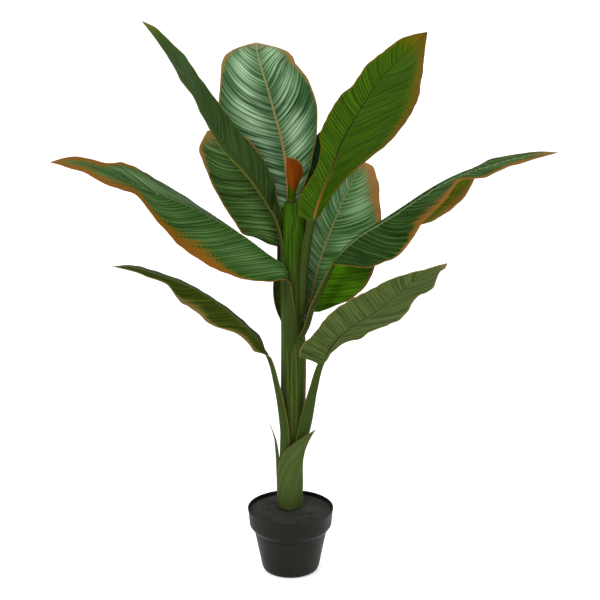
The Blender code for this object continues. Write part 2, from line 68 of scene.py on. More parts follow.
# The middle line of the stem in millimetres, and its radii from foot to top
STEM_LINE = ((-2, 14, 24), (-1, 14, 130), (4, 14, 300), (6, 14, 420), (4, 14, 600), (6, 13, 700), (3, 12, 747))
STEM_RADII = (20, 21, 22.5, 23.5, 24.5, 24.5, 23, 22.5, 21.5, 15)
SHEATHS = 9                                 # sheaths around the stem
SHEATH_TWIST = 0.16                         # turns that they make from foot to top
RIBS_EACH = 7                               # fine ribs of a sheath

# Profiles as (radius, height) in millimetres: the pot from its inner floor over its rim, and the fill
POT_PROFILE = (
    (0, 3), (49.2, 3), (55.0, 9.2), (69.8, 84), (79.2, 98), (82.6, 130.0), (82.9, 130.9), (84.8, 130.9),
    (85.0, 130.3), (84.9, 127.5), (84.2, 126.6), (81.4, 97.2), (80.2, 95), (72.0, 84), (57.2, 9), (54.5, 3),
    (48.2, 0), (0, 0))
POT_ROUNDING = 1.6
GRIT_PROFILE = (
    (0, 128.5), (34, 128.1), (58, 126), (81.2, 123.5), (78.4, 98), (69.2, 84.5), (54.4, 9.5), (48.4, 3.3),
    (0, 3.3))
GRAINS = 1500

# The camera that was fitted to the photo: place in metres, pitch in degrees, focal length in pixels
CAMERA_PLACE = (0.0187, -2.80, 1.383)
CAMERA_PITCH = 16.4
FOCAL_PIXELS = 1531
IMAGE_PIXELS = 600
SENSOR_WIDTH = 36

# Light returned by a surface of each tone, as a share of the tone
ALBEDO = 0.60
GLOSS = 0.08                                # strength of the highlights of hard surfaces
LEAF_GLOSS = 0.03                           # and of leaves
MARGIN_FADE = 1.6                           # how far a margin fades inwards, as a share of its own reach


@dataclass
class Leaf:
    """One leaf: its form, right and left as seen along the rib from its base, and its finish."""

    name: str
    heading: tuple          # compass of the upper face's tilt, 0 along +X and 90 along +Y
    stalk: tuple            # points of the leaf stalk, from inside the stem to the base of the blade
    blade: tuple            # further points of the rib, out to the tip
    right: tuple            # half width of the right side, evenly spaced from base to tip
    left: tuple
    lift_right: tuple = (10,)                # angle of each half blade out of the flat, in degrees
    lift_left: tuple = (10,)
    curl_right: tuple = (0,)                 # angle by which it bends on the way to its margin
    curl_left: tuple = (0,)
    lean: tuple = (0,)                       # angle by which the margins lean towards the tip
    stalk_width: tuple = (8, 7)              # half width of the stalk, from the stem to the blade
    stalk_cup: tuple = (60, 60)              # angle by which its sides rise
    rib: float = 1.0                         # strength of the rib
    rise_right: tuple = (0.04, 0.10, 0.16)   # how far the veins run towards the tip, as shares of the length
    rise_left: tuple = (0.04, 0.10, 0.16)
    spacing: float = 9.0                     # between veins along the rib
    pleat: float = 0.30                      # height of the pleats
    ripple: float = 0.5                      # height of the ripples at the margin
    margin_right: tuple = (2,)               # reach of the coloured margin, from base to tip
    margin_left: tuple = (2,)
    tip: float = 10                          # reach of the coloured tip
    painted_sheen_right: tuple = (0,)                # strength of the painted highlight band on each half
    painted_sheen_left: tuple = (0,)
    upper: str = "mint"                      # names of tones: upper face, underside, margin
    under: str = "bright"
    fringe: str = "tan"
    ribs: tuple = ("#6a7a3c",) * 4           # tones of the rib at RIB_SHARES
    rib_width: float = 1.0                   # of its coloured line
    rib_shift: tuple = (0,)                  # how far that line lies to the right
    vein_dark: float = 0.55                  # strength of the dark furrows: the veins' own colour and painted shade in the grooves
    vein_light: float = 0.25                 # strength of the light crests and hair lines: the veins' own colour and painted highlights
    band: float = 0.3                        # strength of the broad dark bands along the veins
    bold: float = 0.0                        # strength of a few bold dark veins
    fresh_green_and_painted_light: float = 0.0                       # share up to which the right side is painted a brighter green: painted light on a half that lies in shade
    green_base: float = 0.0                  # share up to which the whole leaf is green
    slot: str = "leaf"
    seed: float = 0.0                        # shifts the waves of this leaf


LEAVES = (
    Leaf(
        name="leaf_top_left", heading=(176,),
        stalk=((-6, 7, 600), (-11, 8, 636), (-21, 11, 694), (-33, 11, 726)),
        blade=((-44, 10, 749), (-80, 2, 810), (-120, -6, 861), (-149, -9, 915), (-170, -11, 961),
               (-209, -10, 1012), (-241, -5, 1058), (-267, 2, 1085)),
        right=(25, 35, 44, 53, 60, 64, 67, 68, 68, 66, 62, 56, 48, 43, 45, 49, 46, 32, 25, 18, 0.5),
        left=(6, 10, 13, 17, 21, 25, 30, 35, 42, 48, 52, 48, 39, 34, 40, 30, 23, 26, 22, 14, 0.5),
        lift_right=(38, 28, 22, 17, 14, 18, 20), lift_left=(-8, -8, -4, 0, -8, 2, 0),
        stalk_width=(8, 7),
        rise_right=(0.10, 0.16, 0.2), rise_left=(0.1, 0.14, 0.18), pleat=0.35,
        margin_right=(1, 1, 1, 2, 3, 5), margin_left=(12, 9, 5, 3, 3, 5), tip=34, upper="grey", under="grey",
        # Past its tan base the rib line of this leaf is painted dark: painted shade in the fold along the rib
        fringe="lime", ribs=("#6a4c20", "#1c2a0c", "#1e3010", "#2c4016"), rib_width=0.7, seed=1.3),
    Leaf(
        name="leaf_top_middle", heading=(95,),
        stalk=((0, 25, 616), (-2, 43, 657), (-3, 72, 720)),
        blade=((-6, 86, 777), (-12, 98, 825), (-19, 106, 858), (-28, 113, 890), (-37, 120, 923),
               (-48, 133, 958), (-58, 155, 986), (-65, 193, 1007), (-68, 250, 1017)),
        stalk_width=(8, 12, 20),
        right=(22, 24, 34, 46, 55, 66, 75, 83, 85, 84, 82, 77, 74, 74, 70, 58, 0.5),
        left=(24, 37, 52, 66, 80, 91, 100, 106, 107, 104, 96, 87, 78, 72, 62, 42, 0.5),
        lift_right=(10, 10, 8, 4, 0), lift_left=(2, 4, 6, 4, 0),
        curl_right=(0, -15, -25, -30, -20), curl_left=(0, -15, -25, -30, -20),
        rise_right=(0.02, 0.09, 0.18, 0.27, 0.34), rise_left=(0.02, 0.1, 0.2, 0.28, 0.34), pleat=0.5,
        spacing=8.2, margin_right=(0, 0, 2, 4, 10, 22, 34), margin_left=(0, 0, 1, 2, 4, 14, 34), tip=42,
        painted_sheen_right=(0.4, 1.1, 1.2, 1.1, 0.8), painted_sheen_left=(1.1, 0.9, 1.1, 0.9, 0.7), upper="mint",
        fringe="tan", rib_width=1.3, band=0.55, vein_dark=0.95,
        ribs=("#c0824a", "#c08c58", "#b4945e", "#93a06e"), seed=2.1),
    Leaf(
        name="leaf_top_right", heading=(297,),
        stalk=((22, 4, 524), (26, -6, 576), (28, -15, 626), (33, -25, 674), (41, -41, 722)),
        blade=((57, -60, 779), (73, -76, 823), (94, -98, 885), (114, -115, 926), (136, -132, 966),
               (161, -148, 1006), (190, -160, 1038), (215, -168, 1064), (235, -172, 1085)),
        right=(26, 31, 34, 32, 28, 26, 27, 31, 41, 43, 44, 44, 42, 35, 34, 35, 32, 29, 26, 16, 0.5),
        left=(8, 18, 27, 38, 52, 76, 97, 107, 111, 113, 111, 105, 97, 82, 56, 28, 0.5),
        lift_right=(30, 32, 30, 30, 34), lift_left=(8, 5, 0, 0, 0),
        stalk_width=(9, 10, 9, 8),
        rise_right=(0.05, 0.06, 0.06, 0.08), rise_left=(0.12, 0.2, 0.24, 0.24), spacing=7,
        margin_right=(1, 1, 2, 3, 6), margin_left=(1, 4, 14, 22, 26, 20), tip=46, under="bright",
        fringe="citrus", ribs=("#a8743a", "#7a5c20", "#203204", "#243604"), rib_width=0.75, vein_dark=0.6,
        vein_light=0.5, seed=3.7),
    Leaf(
        name="leaf_back_right", heading=(62,),
        stalk=((18, 17, 640), (24, 40, 674), (28, 66, 718)),
        blade=((33, 88, 762), (62, 115, 803), (97, 139, 851), (131, 160, 895), (155, 177, 925)),
        right=(18, 46, 58, 60, 48, 28, 0.5), left=(8, 21, 36, 42, 32, 18, 0.5),
        lift_right=(15,), lift_left=(15,),
        upper="dusk", fringe="tan", ribs=("#2c4a20",) * 4, seed=4.4),
    Leaf(
        name="leaf_back_left", heading=(112,),
        stalk=((-8, 20, 505), (-23, 22, 548), (-25, 25, 580), (-20, 29, 620), (-19, 31, 656)),
        blade=((-21, 33, 690), (-38, 39, 735), (-54, 44, 762), (-80, 54, 794), (-111, 66, 828),
               (-138, 82, 853), (-158, 96, 868)),
        right=(6, 12, 20, 34, 44, 40, 0.5), left=(14, 48, 71, 76, 77, 78, 77, 73, 69, 62, 54, 43, 0.5),
        lift_right=(15,), lift_left=(10, 5, 0, 0, 0), curl_left=(0, -20, -30, -20, 0),
        stalk_width=(8, 10, 11, 8, 7),
        rise_right=(0.1, 0.14, 0.2), rise_left=(0.12, 0.2, 0.3),
        margin_right=(0, 3, 8), margin_left=(0, 0, 0, 1, 3, 9, 20), tip=26, band=0.6,
        painted_sheen_left=(0.35, 0.4, 0.3, 0.7), vein_light=0.45, upper="shade", fringe="tan",
        ribs=("#8a5426", "#7a5028", "#4c5424", "#5c6c34"), rib_width=0.8, seed=5.2),
    Leaf(
        name="leaf_left", heading=(262, 232, 200, 195, 195, 195, 195, 195, 195),
        stalk=((-1, 0, 430), (0, -8, 492), (-1, -11, 548), (-3, -15, 596)),
        blade=((-5, -19, 620), (-47, -31, 662), (-94, -43, 701), (-143, -54, 732), (-186, -62, 757),
               (-236, -72, 779), (-282, -84, 802), (-344, -98, 835), (-387, -108, 848), (-426, -116, 849)),
        right=(8, 26, 40, 51, 57, 61, 64, 67, 69, 74, 75, 70, 58, 26, 23, 17, 0.5),
        left=(4, 36, 53, 71, 79, 83, 81, 78, 77, 71, 55, 29, 38, 43, 31, 26, 0.5),
        lift_right=(-20, -12, -4, 2, 10, 20, 22, 14), lift_left=(-58, -62, -68, -68, -40, -24, -22, -8),
        stalk_width=(13, 14, 12, 8), stalk_cup=(60, 60, 50, 40),
        rise_right=(0.1, 0.2, 0.24), rise_left=(0.12, 0.24, 0.3), pleat=0.36,
        margin_right=(0, 0, 1, 2, 3, 10, 18, 16), margin_left=(0, 1, 10, 26, 22, 16, 24, 24, 16), tip=36,
        painted_sheen_right=(0.1, 0.2, 0.7, 1.1, 1.1), painted_sheen_left=(0.3, 0.35, 0.2, 0.4, 1.0, 1.1), upper="deep",
        fringe="amber", band=0.5, vein_light=0.42, ribs=("#5c7444", "#6c8658", "#8ca480", "#8ca07c"),
        rib_width=0.6, seed=6.6),
    Leaf(
        name="leaf_low_left", heading=(235, 215, 195, 185, 183),
        stalk=((-8, 4, 196), (-10, -5, 246), (-14, -12, 306), (-27, -17, 394), (-40, -24, 450)),
        blade=((-50, -26, 472), (-67, -28, 493), (-99, -31, 528), (-141, -36, 566), (-188, -39, 596),
               (-243, -42, 618), (-289, -44, 634), (-330, -46, 638)),
        right=(20, 34, 31, 31, 27, 21, 21, 28, 37, 41, 35, 26, 0.5),
        left=(8, 21, 25, 21, 20, 24, 31, 39, 42, 40, 38, 38, 39, 32, 17, 15, 18, 17, 14, 9, 0.5),
        lift_right=(22, 10, 2, -4, -6, -6), lift_left=(-36, -60, -56, -20, -6),
        stalk_width=(9, 12, 13, 10, 7), stalk_cup=(35, 35, 35, 40, 50),
        rise_right=(0.1, 0.16, 0.2), rise_left=(0.1, 0.16, 0.2),
        margin_right=(1, 1, 1, 2, 4), margin_left=(2, 9, 4, 14, 6, 3, 4), tip=18, painted_sheen_right=(0, 0.2, 0.5),
        upper="moss", under="moss", fringe="wheat", ribs=("#4c5c20", "#4c5c20", "#7c885c", "#7c885c"),
        rib_width=0.6, slot="leaf_low", seed=7.9),
    Leaf(
        name="leaf_right_back", heading=(55,),
        stalk=((12, 23, 484), (24, 26, 504), (34, 30, 528)),
        blade=((43, 34, 570), (63, 46, 643), (84, 60, 695), (107, 78, 748), (128, 94, 785),
               (138, 104, 799), (143, 116, 803)),
        right=(14, 47, 76, 94, 107, 113, 115, 114, 111, 106, 98, 90, 80, 68, 56, 35, 0.5),
        left=(8, 44, 60, 62, 50, 36, 0.5),
        lift_right=(-5,), lift_left=(20,),
        rise_right=(0.05, 0.14, 0.2, 0.2), rise_left=(0.1, 0.16, 0.2), pleat=0.4,
        margin_right=(0, 0, 1, 3, 16, 30, 32), margin_left=(0, 0, 1, 5, 12), tip=24, band=0.5, fresh_green_and_painted_light=0.42,
        painted_sheen_right=(0.2, 0.4, 0.7, 0.8, 0.4), painted_sheen_left=(0.9, 0.9, 0.7), vein_light=0.5, upper="teal",
        fringe="cork", ribs=("#a8743c", "#b4884e", "#b49a68", "#b08c5c"), seed=8.5),
    Leaf(
        name="leaf_right", heading=(347,),
        stalk=((20, 5, 480), (32, -4, 506), (43, -14, 547), (57, -19, 580), (80, -25, 634)),
        blade=((96, -29, 663), (125, -37, 694), (174, -45, 729), (215, -52, 759),
               (242, -56, 779), (301, -64, 815), (364, -75, 840), (415, -83, 854), (481, -93, 862)),
        right=(14, 60, 66, 74, 80, 80, 74, 64, 61, 58, 49, 36, 24, 38, 38, 30, 24, 22, 17, 9, 0.5),
        left=(12, 30, 44, 51, 56, 59, 64, 64, 62, 58, 54, 52, 50, 38, 36, 20, 14, 12, 12, 9, 0.5),
        lift_right=(-66, -66, -52, -38, -30, -22, -30, -26, -18),
        lift_left=(0, -8, -36, -64, -74, -26, 10, 10, 8), lean=(14, 14, 18, 26, 28, 24, 14, 10, 10),
        stalk_width=(10, 12, 12, 10, 7),
        rise_right=(0.06, 0.12, 0.16), rise_left=(0.08, 0.14, 0.16), spacing=11, pleat=0.4,
        margin_right=(0, 1, 5, 16, 12, 8, 7, 9, 9), margin_left=(1, 2, 2, 6, 12, 6, 2, 4, 10), tip=42,
        painted_sheen_right=(0, 0.05, 0.15, 0.7, 1.0, 1.1), painted_sheen_left=(0.3, 0.4, 0.9, 1.1), upper="night",
        under="brass", fringe="honey", ribs=("#5c6c38", "#6c8058", "#7c9468", "#8c9c70"), rib_width=0.8,
        rib_shift=(2, 5, 9, 11, 7, 0), vein_dark=0.3, vein_light=0.7, seed=9.1),
    Leaf(
        name="leaf_low_right", heading=(285, 295, 300, 302, 302),
        stalk=((13, 4, 200), (19, -5, 250), (31, -14, 314), (45, -24, 385), (59, -36, 442)),
        blade=((68, -42, 464), (90, -53, 501), (122, -66, 532), (154, -80, 557), (188, -94, 589),
               (228, -110, 630), (258, -123, 652), (284, -135, 668)),
        right=(50, 52, 43, 42, 47, 51, 53, 54, 50, 45, 40, 35, 25, 17, 9, 5, 0.5),
        left=(6, 9, 9, 14, 19, 30, 45, 49, 49, 59, 64, 65, 67, 64, 59, 51, 44, 45, 54, 56, 47, 33, 21, 16, 0.5),
        lift_right=(34,), lift_left=(-12,),
        stalk_width=(8, 12, 14, 10, 7), stalk_cup=(35, 35, 35, 40, 50),
        rise_right=(0.02, 0.03, 0.04, 0.08), rise_left=(0.1, 0.2, 0.22), spacing=6.5, pleat=0.24,
        margin_right=(1, 1, 1, 3), margin_left=(1, 2, 5, 3, 6), tip=24, band=0.25, bold=0.85,
        upper="khaki", under="khaki", fringe="wheat", ribs=("#5a5c28", "#343e12", "#2c3810", "#343e14"),
        rib_width=0.7, vein_dark=0.5, vein_light=0.35, slot="leaf_low", seed=10.4),
)
SPEAR = Leaf(
    name="leaf_young", heading=(270,),
    stalk=((3, 7, 706), (3, 4, 753)),
    blade=((3, 2, 762), (5, 0, 778), (6, -1, 801), (-1, -2, 824), (-6, -3, 836)),
    right=(10, 11, 14, 15, 8, 0.5), left=(11, 13, 17, 24, 20, 0.5), lift_right=(0,), lift_left=(0,),
    curl_right=(90, 80, 60, 40), curl_left=(100, 90, 60, 40), stalk_width=(10, 11), stalk_cup=(70, 75),
    spacing=8, pleat=0.1, ripple=0, margin_right=(0,), margin_left=(0, 2, 4, 4, 3), tip=1,
    upper="rust", under="rust", fringe="tan", ribs=("#8a4408",) * 4, rib_width=0.01, green_base=0.36,
    vein_dark=0, vein_light=0, band=0, slot="leaf_young", seed=11.0)
BRACT_FRONT = Leaf(
    name="bract_front", heading=(274, 274, 283), stalk=(),
    blade=((0, -13, 129.5), (1, -17, 174), (5, -20, 218), (17, -25, 257), (30, -29, 283), (48, -34, 308)),
    right=(30, 36, 38, 34, 24, 10, 0.5), left=(30, 34, 32, 24, 14, 8, 0.5),
    lift_right=(0,), lift_left=(0,),
    curl_right=(82, 84, 80, 60, 30, 10), curl_left=(74, 78, 74, 56, 40, 20), rib=0.35,
    rise_right=(-0.8, -0.5), rise_left=(0.9, 0.6), spacing=6.5, pleat=0.2, ripple=0,
    margin_right=(1,), margin_left=(1,), tip=10, upper="husk", under="husk", fringe="wheat",
    ribs=("#47562a",) * 4, rib_width=0.01, vein_dark=0.9, vein_light=0.8, slot="bract", seed=12.0)
BRACT_SIDE = Leaf(
    name="bract_side", heading=(198,), stalk=(),
    blade=((-24.5, 16, 129.5), (-26, 17, 190), (-28, 15, 239), (-31, 12, 271), (-42, 8, 308)),
    right=(20, 20, 16, 9, 0.5), left=(10, 12, 12, 8, 0.5), lift_right=(0,), lift_left=(0,),
    curl_right=(46, 44, 36, 24, 10), curl_left=(46, 44, 36, 24, 10), rib=0.35,
    rise_right=(1.3, 1.1), rise_left=(1.1, 0.9), spacing=6, pleat=0.2, ripple=0,
    margin_right=(1,), margin_left=(1,), tip=10, upper="moss", under="khaki", fringe="wheat",
    ribs=("#47562a",) * 4, rib_width=0.01, vein_dark=0.7, vein_light=0.35, slot="bract", seed=13.0)

# Tones of a leaf face as the studio light shows them: dark, middle and light, and the roughness. The light tone
# is also the colour of the painted highlights.
TONES = {
    "mint": ("#1e4818", "#42763a", "#ccf4c2", 0.42),
    "teal": ("#2a5822", "#4e8a3c", "#bce4ac", 0.46),
    "deep": ("#163804", "#305e0c", "#8cb474", 0.48),
    "night": ("#142804", "#2a4a0c", "#6c9054", 0.50),
    "shade": ("#1c3604", "#3c6414", "#98bc78", 0.50),
    "dusk": ("#0e280c", "#20461a", "#4c7448", 0.50),
    "grey": ("#20380e", "#466428", "#8ca878", 0.52),
    "moss": ("#243604", "#445604", "#94a058", 0.54),
    "khaki": ("#34461a", "#5e7034", "#98a868", 0.58),
    "bright": ("#203c00", "#3e6600", "#7ca41c", 0.54),
    # A brighter green that is painted light
    "painted_lit_green": ("#305c00", "#569204", "#8cc430", 0.54),
    "brass": ("#3e4c04", "#606c08", "#8c9020", 0.54),
    "rust": ("#88400a", "#9c4c08", "#c47a34", 0.56),
    "husk": ("#34481a", "#5c7032", "#8c9e5c", 0.60),
}
RIB_SHARES = (0.0, 0.14, 0.38, 1.0)
# Tones of a coloured margin, from its inner side to the edge
FRINGES = {
    "tan": ("#62743a", "#8e763a", "#a87a3e"),
    "citrus": ("#4c6206", "#686a06", "#7c5c0a"),
    "lime": ("#46641a", "#5c7416", "#7c7834"),
    "amber": ("#4e6a10", "#8a6812", "#9c5e18"),
    "cork": ("#7c8458", "#a87c48", "#b07a42"),
    "honey": ("#50601c", "#84682a", "#a06c30"),
    "wheat": ("#545e1c", "#7a7030", "#94804a"),
}


def along(values, share):
    """Evenly spaced values joined by a Catmull-Rom curve and read at a share of 0 to 1 of its length."""
    points = np.asarray(values, float)
    if len(points) == 1:
        return np.full(np.shape(share), points[0])
    padded = np.concatenate([[2 * points[0] - points[1]], points, [2 * points[-1] - points[-2]]])
    place = np.clip(share, 0, 1) * (len(points) - 1)
    i = np.minimum(place.astype(int), len(points) - 2)
    f = place - i
    a, b, c, d = padded[i], padded[i + 1], padded[i + 2], padded[i + 3]
    bend = (2 * a - 5 * b + 4 * c - d) * f**2 + (3 * b - 3 * c + d - a) * f**3
    return b + 0.5 * ((c - a) * f + bend)


def smooth_line(points, count=400):
    """A smooth curve through points at even steps of its length, the share of each point, and its length."""
    knots = np.asarray(points, float)
    span = np.linalg.norm(np.diff(knots, axis=0), axis=1)
    slope = np.diff(knots, axis=0) / span[:, None]
    weight = (span[:-1] / (span[:-1] + span[1:]))[:, None]
    tangent = np.empty_like(knots)
    tangent[1:-1] = slope[:-1] * (1 - weight) + slope[1:] * weight
    tangent[0] = 1.5 * slope[0] - 0.5 * tangent[1]
    tangent[-1] = 1.5 * slope[-1] - 0.5 * tangent[-2]
    at = np.concatenate([[0], np.cumsum(span)])
    fine = np.linspace(0, at[-1], 10 * count)
    i = np.clip(np.searchsorted(at, fine, side="right") - 1, 0, len(span) - 1)
    f = ((fine - at[i]) / span[i])[:, None]
    reach = span[i][:, None]
    line = ((2 * f**3 - 3 * f**2 + 1) * knots[i] + (f**3 - 2 * f**2 + f) * reach * tangent[i]
            + (3 * f**2 - 2 * f**3) * knots[i + 1] + (f**3 - f**2) * reach * tangent[i + 1])
    run = np.concatenate([[0], np.cumsum(np.linalg.norm(np.diff(line, axis=0), axis=1))])
    even = np.linspace(0, run[-1], count)
    evenly = np.stack([np.interp(even, run, line[:, k]) for k in range(3)], 1)
    return evenly, np.interp(at, fine, run) / run[-1], run[-1]


def unit(vectors):
    """Vectors scaled to length 1."""
    return vectors / np.linalg.norm(vectors, axis=-1, keepdims=True)


def soft_step(low, high, value):
    """0 below low, 1 above high, and a smooth rise between them."""
    f = np.clip((value - low) / (high - low), 0, 1)
    return f * f * (3 - 2 * f)


def wave(turns):
    """A sine of a number of full turns."""
    return np.sin(2 * np.pi * turns)


def normals(points):
    """Directions square to a grid of points, on the side that an upper face looks to."""
    return unit(np.cross(np.gradient(points, axis=1), np.gradient(points, axis=0)))


def mesh_piece(name, vertices, faces, material, values=None, places=None):
    """A smooth mesh object in metres, from quads or triangles, with point values and a UV map."""
    mesh = bpy.data.meshes.new(name)
    mesh.from_pydata(vertices.tolist(), [], faces if isinstance(faces, list) else faces.tolist())
    mesh.materials.append(material)
    for key, value in (values or {}).items():
        layer = mesh.attributes.new(key, "FLOAT", "POINT")
        layer.data.foreach_set("value", np.ascontiguousarray(value.ravel(), np.float32))
    if places is not None:
        corner = np.empty(len(mesh.loops), np.int32)
        mesh.loops.foreach_get("vertex_index", corner)
        layer = mesh.uv_layers.new(name="UVMap")
        layer.data.foreach_set("uv", places.reshape(-1, 2)[corner].astype(np.float32).ravel())
    mesh.shade_smooth()
    item = bpy.data.objects.new(name, mesh)
    bpy.context.scene.collection.objects.link(item)
    return item


def shell_faces(rows, columns):
    """Quads of a closed thin shell: an upper and a lower grid, a strip along each side and one at each end."""
    lower = rows * columns
    i, j = np.meshgrid(np.arange(rows - 1), np.arange(columns - 1), indexing="ij")
    a = (i * columns + j).ravel()
    top = np.stack([a, a + 1, a + columns + 1, a + columns], 1)
    left = np.arange(rows - 1) * columns
    right = left + columns - 1
    foot = np.arange(columns - 1)
    tip = (rows - 1) * columns + foot
    return np.concatenate([
        top, top[:, ::-1] + lower,
        np.stack([left, left + columns, lower + left + columns, lower + left], 1),
        np.stack([right, lower + right, lower + right + columns, right + columns], 1),
        np.stack([foot, lower + foot, lower + foot + 1, foot + 1], 1),
        np.stack([tip, tip + 1, lower + tip + 1, lower + tip], 1)])


def turned_faces(rows, sides, reverse=False):
    """Quads between closed rings and a fan at each end. The two poles are the points that follow the rings."""
    i, j = np.meshgrid(np.arange(rows - 1), np.arange(sides), indexing="ij")
    a = (i * sides + j).ravel()
    b = (i * sides + (j + 1) % sides).ravel()
    first = np.arange(sides)
    after = (first + 1) % sides
    last = (rows - 1) * sides
    parts = (np.stack([a, a + sides, b + sides, b], 1),
             np.stack([np.full(sides, rows * sides), first, after], 1),
             np.stack([np.full(sides, rows * sides + 1), last + after, last + first], 1))
    if reverse:
        parts = [np.concatenate([part[:, :1], part[:, :0:-1]], 1) for part in parts]
    return [face for part in parts for face in part.tolist()]


def leaf_piece(leaf, rows=230, columns=61):
    """A leaf as a closed shell with pleats, replacing its solid.

    The rib is a curve through points. A half blade leaves it at its lift angle and bends by its curl angle,
    so it is an arc of length width; its margin leans towards the tip and ripples. A vein
    starts at share v of the rib and has run on by rise times (share of the width)^1.2. A pleat lowers
    the sheet by a cosine of the vein number. The rib is a bead above and a bulge below, both Gaussian. The
    stalk is a channel whose sides rise by the cup angle.
    """
    line, knots, length = smooth_line(leaf.stalk + leaf.blade)
    start = knots[len(leaf.stalk) - 1] if leaf.stalk else 0.0
    share = start + (TIP_REACH - start) * np.linspace(0, 1, rows)**0.94
    if leaf.stalk:
        share = np.concatenate([start * np.linspace(0, 1, STALK_ROWS)[:-1], share])
    t = np.linspace(-1, 1, columns)
    q = (0.42 * t + 0.58 * t**3)[None, :]
    steps = np.linspace(0, 1, len(line))
    slope = np.gradient(line, axis=0)
    place = np.stack([np.interp(share, steps, line[:, k]) for k in range(3)], -1)
    ahead = unit(np.stack([np.interp(share, steps, slope[:, k]) for k in range(3)], -1))
    heading = np.radians(along(leaf.heading, share))
    level = np.stack([np.sin(heading), -np.cos(heading), 0 * heading], -1)
    side = unit(level - ahead * np.sum(ahead * level, -1, keepdims=True))
    up = np.cross(side, ahead)

    out = np.clip((share - start) / (1 - start), 0, 1)[:, None]
    stalk_share = np.clip(share / max(start, TINY), 0, 1)[:, None]
    blade = np.ones((len(share), 1))
    folding = blade
    if leaf.stalk:
        folding = np.clip((share - start) / FOLD_RAMP, 0, 1)[:, None]
        blade = soft_step(0, 1, (share - start) / BASE_RAMP)[:, None]
    half = np.abs(q)
    to_right = q >= 0

    def pick(right, left):
        """The right or the left half's value at each point."""
        return np.where(to_right, along(right, out), along(left, out))

    width = np.maximum(pick(leaf.right, leaf.left), TIP_WIDTH) * blade
    width = width + along(leaf.stalk_width, stalk_share) * (1 - blade)
    lift = np.radians(pick(leaf.lift_right, leaf.lift_left)) * folding
    cup = along(leaf.stalk_cup, stalk_share) * (1 - blade)
    curl = np.radians(pick(leaf.curl_right, leaf.curl_left) * blade + cup)
    reach = width * half * np.sinc(curl * half / (2 * np.pi))
    angle = lift * np.clip(half * width / FOLD_REACH, 0, 1) + curl * half / 2
    rise = reach * np.sin(angle)

    blade_length = length * (1 - start)
    vein_rise = pick(leaf.rise_right, leaf.rise_left)
    vein_share = out - vein_rise * half**VEIN_BEND
    wander = 0.012 * wave(3.1 * vein_share + leaf.seed)
    wander = wander + 0.006 * wave(8.3 * vein_share + 2 * leaf.seed + 0.4 * to_right)
    vein = (vein_share + wander) * blade_length / leaf.spacing + np.where(to_right, 0.5, 0.0)
    furrow = wave(vein / 3.3 + leaf.seed) * wave(vein / 8.7 + 1.7 * leaf.seed)
    flat = soft_step(2, 9, half * width) * soft_step(0, 5, (1 - half) * width + 1) * blade
    pleats = leaf.pleat * np.cos(2 * np.pi * vein) + 1.6 * leaf.pleat * furrow
    ripples = leaf.ripple * half**4 * wave(vein / 3.7 + leaf.seed) * np.minimum(1, width / RIPPLE_REACH)
    rise = rise + (pleats * flat + ripples * blade) * soft_step(0, CALM_TIP, 1 - out)

    run = np.tan(np.radians(along(leaf.lean, out))) * width * half**1.5 * blade
    sideways = reach * np.cos(angle) * np.sign(q)
    points = (place[:, None, :] + sideways[..., None] * side[:, None, :] + rise[..., None] * up[:, None, :]
              + run[..., None] * ahead[:, None, :])
    rib_reach = along(RIB_REACH, out)
    bulge = np.exp(-(half * width / rib_reach)**2)
    thickness = (BLADE_EDGE + leaf.rib * (along(RIB_THICKNESS, out) - BLADE_EDGE) * bulge) * blade
    thickness = thickness + (STALK_EDGE + (STALK_THICKNESS - STALK_EDGE) * (1 - half**2)) * (1 - blade)
    off_rib = np.abs(half * width * np.sign(q) - along(leaf.rib_shift, out))
    bead = 0.5 * leaf.rib * np.exp(-(off_rib / (0.4 * rib_reach))**2) * soft_step(0, 0.03, 1 - out)
    square = normals(points)
    upper = points + bead[..., None] * blade[..., None] * square
    lower = points - thickness[..., None] * square
    vertices = np.concatenate([upper.reshape(-1, 3), lower.reshape(-1, 3)]) * MM

    inward = (1 - half) * width + 0 * out
    feather = 1 + 0.45 * wave(0.31 * vein + leaf.seed) * wave(0.83 * vein + 2.3 * leaf.seed)
    fade = MARGIN_FADE * feather * pick(leaf.margin_right, leaf.margin_left)
    aged = np.clip(1 - inward / np.maximum(fade, 0.1), 0, 1) * blade
    from_tip = (1 - out) * blade_length
    aged = np.maximum(aged, np.clip(1 - from_tip / (MARGIN_FADE * leaf.tip * feather), 0, 1))
    # Painted highlight: a band of the light tone across the middle of each half
    painted_sheen = pick(leaf.painted_sheen_right, leaf.painted_sheen_left) * np.exp(-((half - 0.42) / 0.30)**2) * blade
    near_rib = np.exp(-(off_rib / (leaf.rib_width * along(RIB_HALF, out)))**4) * blade
    # Painted light: the right side brightened towards its base; the green base of a young leaf is its own
    # colour
    fresh_green_and_painted_light = np.where(to_right, 1 - soft_step(0.8 * leaf.fresh_green_and_painted_light, leaf.fresh_green_and_painted_light + TINY, out), 0.0)
    fresh_green_and_painted_light = fresh_green_and_painted_light * soft_step(0.08, 0.26, half)
    slanted = out - 0.16 * q * (leaf.green_base > 0)
    fresh_green_and_painted_light = np.maximum(fresh_green_and_painted_light, 1 - soft_step(0.4 * leaf.green_base, leaf.green_base + TINY, slanted))
    full = np.ones((1, columns))
    layers = {
        "vein": vein * full, "aged": aged, "painted_sheen": painted_sheen, "near_rib": near_rib, "inward": inward,
        "blade": blade * full, "share": out * full, "fresh_green_and_painted_light": fresh_green_and_painted_light * blade}
    values = {key: np.concatenate([value, value]) for key, value in layers.items()}
    values["under"] = np.concatenate([np.zeros_like(points[..., 0]), np.ones_like(points[..., 0])])
    across = np.where(to_right, 1.0, -1.0) * half * width / 100 + 0 * out
    uv = np.stack([vein * full * leaf.spacing / 100, across], -1)
    piece = mesh_piece(leaf.name + "_sheet", vertices, shell_faces(len(share), columns), leaf_material(leaf),
                       values, np.concatenate([uv, uv]))
    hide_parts(leaf.name)
    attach(piece, "root")
    return piece


